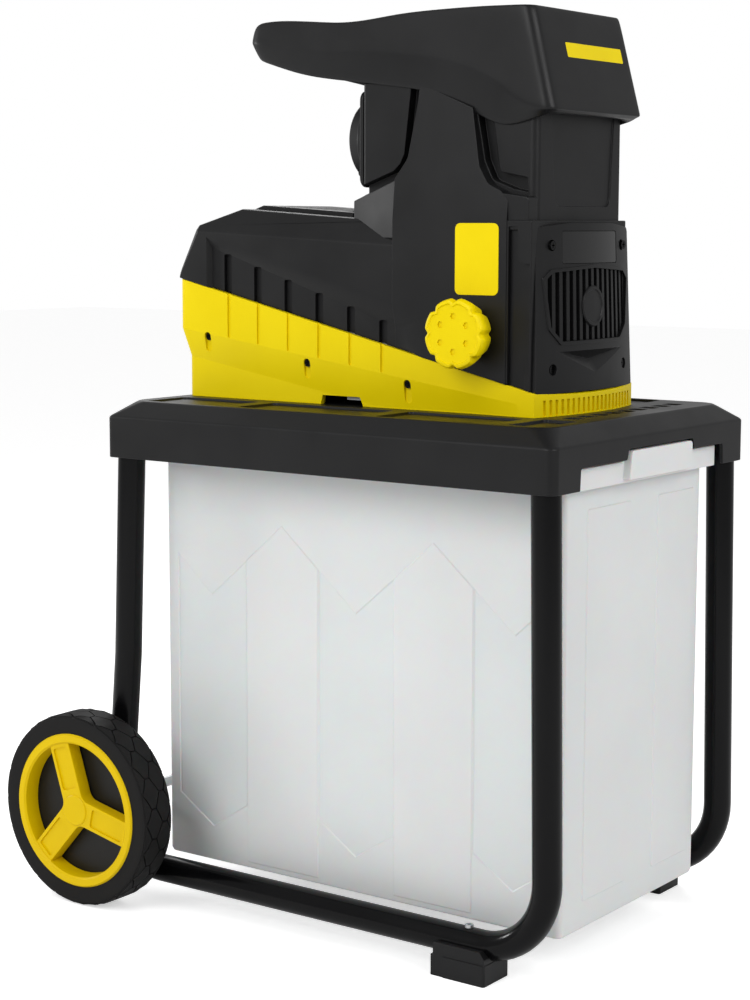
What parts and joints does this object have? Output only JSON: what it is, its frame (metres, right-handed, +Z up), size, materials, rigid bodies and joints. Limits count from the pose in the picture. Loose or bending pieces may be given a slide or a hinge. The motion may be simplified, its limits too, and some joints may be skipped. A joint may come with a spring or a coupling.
{
  "type": "garden shredder",
  "caption": "Wheeled garden shredder with a top feed hopper, a geared cutting drum with adjustable pressure plate, and a pull-out collecting bin on a tube stand.",
  "frame": {"origin": "on the floor, under the middle of the machine's outer box", "axes": "+X to the front, where the bin pulls out; +Y to the far side, away from the adjusting knob; +Z up"},
  "size_m": [0.685, 0.516, 0.96],
  "materials": {
    "black_plastic": "fine moulded grain",
    "dark_plastic": "satin",
    "gloss_black": "gloss",
    "yellow_plastic": "semi-gloss",
    "bin_plastic": "milky translucent",
    "tube_paint": "gloss powder coat",
    "rubber": "matt tread rubber",
    "bright_steel": "zinc plated",
    "gear_steel": "ground",
    "die_cast": "die cast",
    "iron": "cast and machined",
    "stator_iron": "laminated, varnished",
    "can": "drawn can"
  },
  "bodies": {
    "stand": {"frame_tube_near": "tube_paint", "frame_tube_far": "tube_paint", "foot_near": "black_plastic", "foot_far": "black_plastic", "deck": "black_plastic", "upper_housing": "black_plastic", "nose_lid": "black_plastic", "side_cover_near": "black_plastic", "side_cover_far": "black_plastic", "front_cover": "black_plastic", "tower": "black_plastic", "hopper": "black_plastic", "switch_box": "black_plastic", "feed_chute": "black_plastic", "interlock_switch": "dark_plastic", "power_inlet": "dark_plastic", "front_window": "gloss_black", "lower_housing": "yellow_plastic", "hopper_strip": "yellow_plastic", "label_plate": "yellow_plastic", "foot_screws": "bright_steel", "axle": "bright_steel", "axle_nuts": "bright_steel", "housing_screws": "bright_steel", "cover_screws": "bright_steel", "motor_bearings": "bright_steel", "drum_bearings": "bright_steel", "motor_front_shield": "die_cast", "motor_rear_shield": "die_cast", "gear_case": "die_cast", "gear_case_cover": "die_cast", "bearing_plate": "die_cast", "cutter_housing": "die_cast", "motor_stator": "stator_iron", "capacitor": "can"},
    "wheel_near": {"tyre_near": "rubber", "rim_near": "black_plastic", "wheel_cover_near": "yellow_plastic"},
    "wheel_far": {"tyre_far": "rubber", "rim_far": "black_plastic", "wheel_cover_far": "yellow_plastic"},
    "bin": {"bin": "bin_plastic"},
    "knob": {"adjuster_knob": "yellow_plastic", "adjuster_screw": "bright_steel"},
    "plate": {"pressure_plate": "die_cast"},
    "rotor": {"motor_rotor": "gear_steel", "motor_fan": "black_plastic", "motor_pinion": "gear_steel"},
    "first_countershaft": {"first_shaft": "gear_steel", "first_gear": "gear_steel", "first_pinion": "gear_steel"},
    "second_countershaft": {"second_shaft": "gear_steel", "second_gear": "gear_steel", "second_pinion": "gear_steel"},
    "drum": {"cutting_drum": "iron", "drum_shaft": "gear_steel", "drum_gear": "gear_steel"},
    "switch": {"switch_knob": "dark_plastic"},
    "reset": {"reset_button": "yellow_plastic"},
    "interlock": {"interlock_plunger": "yellow_plastic"}
  },
  "joints": [
    {"name": "wheel_near_spin", "type": "hinge", "parent": "stand", "child": "wheel_near", "pos_m": [-0.2355, 0, 0.107], "axis": [0, 1, 0], "continuous": true},
    {"name": "wheel_far_spin", "type": "hinge", "parent": "stand", "child": "wheel_far", "pos_m": [-0.2355, 0, 0.107], "axis": [0, 1, 0], "continuous": true},
    {"name": "bin_slide", "type": "slide", "parent": "stand", "child": "bin", "axis": [1, 0, 0], "range_m": [0, 0.55]},
    {"name": "knob_turn", "type": "hinge", "parent": "stand", "child": "knob", "pos_m": [0.1795, 0, 0.639], "axis": [0, 1, 0], "range_deg": [-1028, 411]},
    {"name": "plate_slide", "type": "slide", "parent": "stand", "child": "plate", "axis": [0, 1, 0], "range_m": [-0.005, 0.002]},
    {"name": "rotor_spin", "type": "hinge", "parent": "stand", "child": "rotor", "pos_m": [0, 0, 0.655], "axis": [1, 0, 0], "continuous": true},
    {"name": "first_spin", "type": "hinge", "parent": "stand", "child": "first_countershaft", "pos_m": [0, 0.01533, 0.62078], "axis": [1, 0, 0], "continuous": true},
    {"name": "second_spin", "type": "hinge", "parent": "stand", "child": "second_countershaft", "pos_m": [0, -0.03703, 0.617], "axis": [1, 0, 0], "continuous": true},
    {"name": "drum_spin", "type": "hinge", "parent": "stand", "child": "drum", "pos_m": [0, 0.022, 0.639], "axis": [1, 0, 0], "continuous": true},
    {"name": "switch_turn", "type": "hinge", "parent": "stand", "child": "switch", "pos_m": [0.0255, -0.03, 0.836], "axis": [1, 0, 0], "range_deg": [-45, 45]},
    {"name": "reset_press", "type": "slide", "parent": "stand", "child": "reset", "axis": [1, 0, 0], "range_m": [0, 0.002], "stiffness_N_per_m": 300, "springref_m": -0.002},
    {"name": "interlock_press", "type": "slide", "parent": "stand", "child": "interlock", "axis": [-1, 0, 0], "range_m": [0, 0.003], "stiffness_N_per_m": 300, "springref_m": -0.003}
  ],
  "couplings": [
    {"joint": "plate_slide", "follows": "knob_turn", "m_per_rad": 0.00027852},
    {"joint": "first_spin", "follows": "rotor_spin", "ratio": -0.25},
    {"joint": "second_spin", "follows": "rotor_spin", "ratio": 0.0625},
    {"joint": "drum_spin", "follows": "rotor_spin", "ratio": -0.017045}
  ]
}
